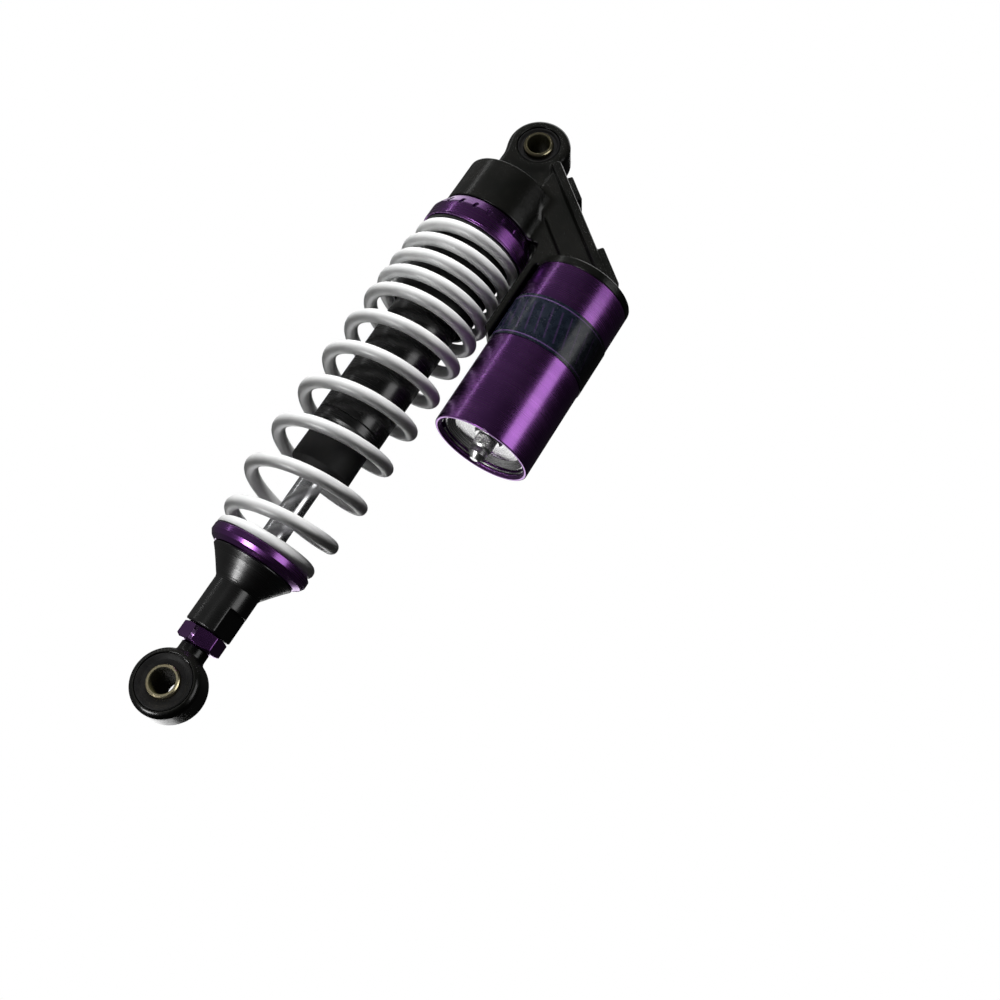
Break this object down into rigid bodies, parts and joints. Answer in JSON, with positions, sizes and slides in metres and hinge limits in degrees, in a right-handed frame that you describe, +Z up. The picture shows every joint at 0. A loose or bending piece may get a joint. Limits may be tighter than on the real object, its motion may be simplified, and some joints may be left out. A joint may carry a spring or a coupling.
{
  "type": "motorcycle rear shock absorber",
  "caption": "Coilover rear shock for a motorcycle: coil spring over a gas damper, an eye at each end, a purple reservoir on a cast arm.",
  "frame": {"origin": "centre of the upper eye's bolt hole", "axes": "+Z up the shock's axis from the lower eye to the upper eye, Y along both bolt holes, +X towards the reservoir"},
  "size_m": [0.1156, 0.0592, 0.3525],
  "materials": {
    "gloss_black": "gloss black paint",
    "purple_anodised": "purple anodised, turned",
    "silver_paint": "satin silver paint",
    "chrome": "hard chrome, polished",
    "black_rubber": "moulded, matt",
    "black_plastic": "moulded, satin",
    "yellow_zinc": "yellow zinc plated",
    "machined_aluminium": "machined, bright",
    "steel": "bare steel",
    "dark_foil": "plain dark foil band"
  },
  "bodies": {
    "upper": {"head_casting": "gloss_black", "upper_bush": "black_rubber", "damper_tube": "gloss_black", "tube_gland": "gloss_black", "dust_wiper": "black_rubber", "rod_guide": "steel", "rod_seal": "black_rubber", "gland_circlip": "steel", "bump_stop": "black_rubber", "spring_guide": "black_plastic", "coil_spring": "silver_paint", "reservoir_tube": "purple_anodised", "reservoir_band": "dark_foil", "reservoir_ring": "black_rubber", "reservoir_end_cap": "machined_aluminium", "end_cap_circlip": "steel", "valve_stem": "yellow_zinc"},
    "seat": {"spring_seat": "purple_anodised"},
    "rod": {"piston_rod": "chrome", "rebound_stop": "black_rubber", "rebound_shims": "steel", "piston": "machined_aluminium", "piston_band": "steel", "compression_shims": "steel", "piston_nut": "steel", "lower_body": "gloss_black"},
    "jam_nut": {"jam_nut": "purple_anodised"},
    "lower_eye": {"lower_eye": "gloss_black", "lower_bush": "black_rubber"},
    "lower_sleeve": {"lower_sleeve": "yellow_zinc"},
    "upper_sleeve": {"upper_sleeve": "yellow_zinc"},
    "preload_ring": {"preload_ring": "purple_anodised"},
    "floating_piston": {"floating_piston": "machined_aluminium", "floating_piston_ring": "black_rubber"},
    "valve_cap": {"valve_cap": "machined_aluminium"}
  },
  "joints": [
    {"name": "damper_stroke", "type": "slide", "parent": "upper", "child": "seat", "axis": [0, 0, 1], "range_m": [0, 0.038], "stiffness_N_per_m": 20000, "springref_m": -0.005, "deforming": ["coil_spring"]},
    {"name": "rod_turn", "type": "hinge", "parent": "seat", "child": "rod", "pos_m": [0, 0, -0.32], "axis": [0, 0, 1], "continuous": true},
    {"name": "jam_nut_turn", "type": "hinge", "parent": "rod", "child": "jam_nut", "pos_m": [0, 0, -0.32], "axis": [0, 0, 1], "range_deg": [-60, 60]},
    {"name": "lower_eye_turn", "type": "hinge", "parent": "rod", "child": "lower_eye", "pos_m": [0, 0, -0.32], "axis": [0, 0, 1], "range_deg": [-90, 90]},
    {"name": "lower_bush_twist", "type": "hinge", "parent": "lower_eye", "child": "lower_sleeve", "pos_m": [0, 0, -0.32], "axis": [0, 1, 0], "range_deg": [-20, 20], "stiffness_Nm_per_rad": 20},
    {"name": "upper_bush_twist", "type": "hinge", "parent": "upper", "child": "upper_sleeve", "pos_m": [0, 0, 0], "axis": [0, 1, 0], "range_deg": [-20, 20], "stiffness_Nm_per_rad": 20},
    {"name": "preload_turn", "type": "hinge", "parent": "upper", "child": "preload_ring", "pos_m": [0, 0, 0], "axis": [0, 0, 1], "range_deg": [0, 144]},
    {"name": "floating_piston_slide", "type": "slide", "parent": "upper", "child": "floating_piston", "axis": [0, 0, 1], "range_m": [-0.003, 0]},
    {"name": "valve_cap_turn", "type": "hinge", "parent": "upper", "child": "valve_cap", "pos_m": [0.0595, 0, 0], "axis": [0, 0, 1], "range_deg": [-180, 180]}
  ],
  "couplings": [
    {"joint": "floating_piston_slide", "follows": "damper_stroke", "ratio": -0.0744}
  ]
}
